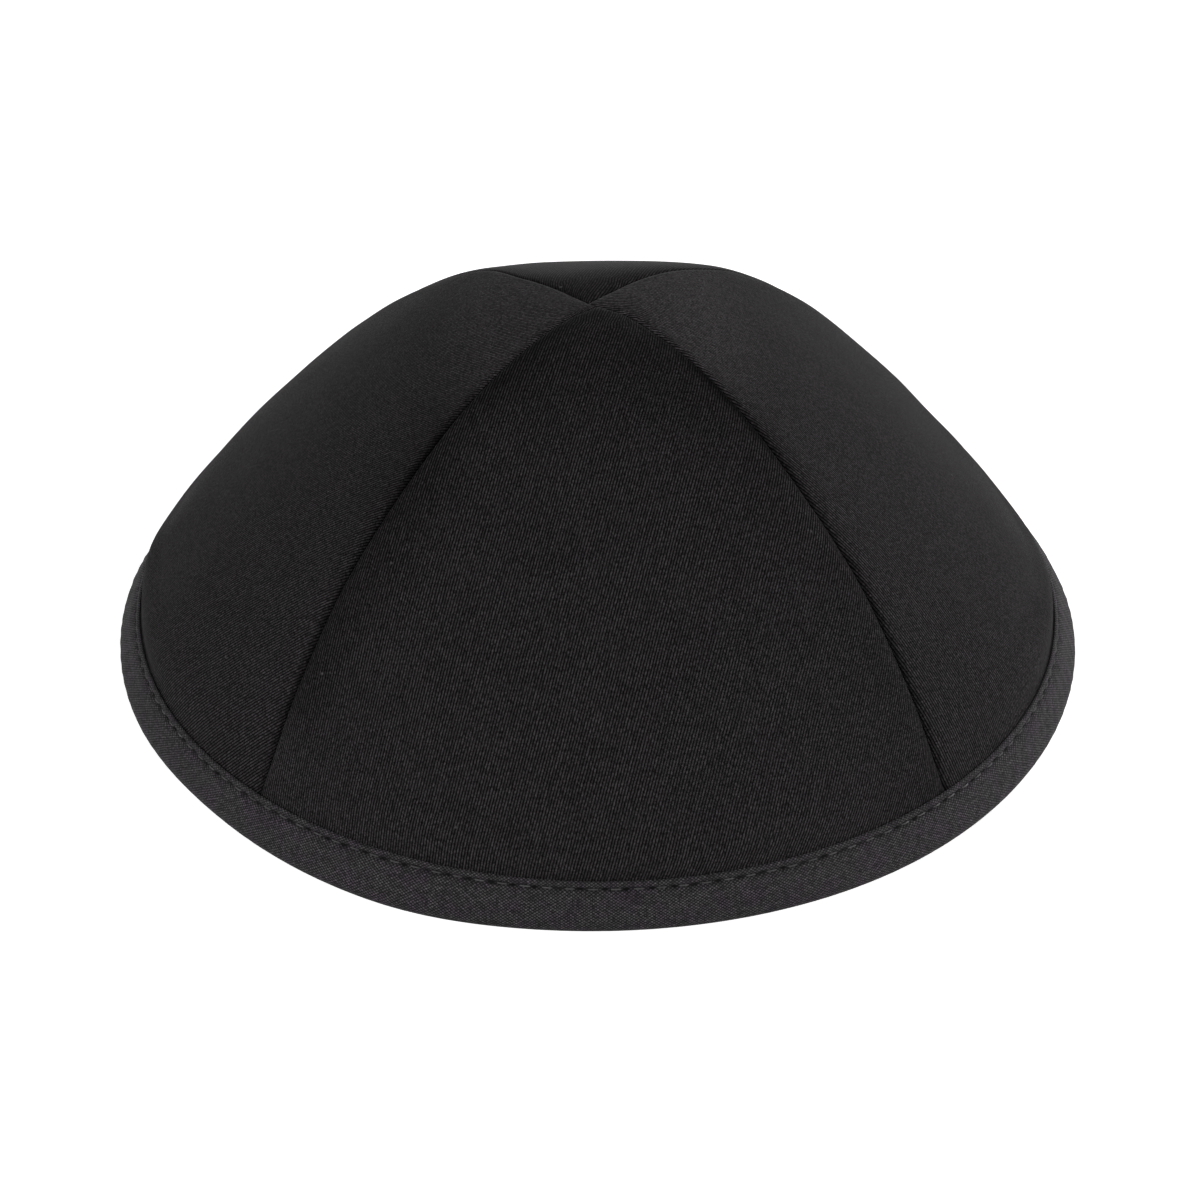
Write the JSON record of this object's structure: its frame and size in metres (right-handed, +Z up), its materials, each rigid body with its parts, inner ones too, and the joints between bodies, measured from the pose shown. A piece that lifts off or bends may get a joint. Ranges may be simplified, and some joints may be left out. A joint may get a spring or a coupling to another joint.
{
  "type": "kippah",
  "caption": "Round cloth skullcap of sewn twill panels with a folded binding stitched round its rim, open underneath, worn on the crown of the head.",
  "frame": {"origin": "middle of the rim's circle, on the surface that the cap stands on", "axes": "+Z up through the crown, -Y towards the front panel's middle, +X towards the right panel's middle"},
  "size_m": [0.18, 0.18, 0.0716],
  "materials": {
    "twill": "black twill with fine diagonal lines and a faint sheen",
    "binding": "black plain-weave bias tape, matt, with a row of stitches"
  },
  "bodies": {
    "root": {"front_panel": "twill", "right_panel": "twill", "back_panel": "twill", "left_panel": "twill", "rim_binding": "binding"}
  },
  "joints": []
}
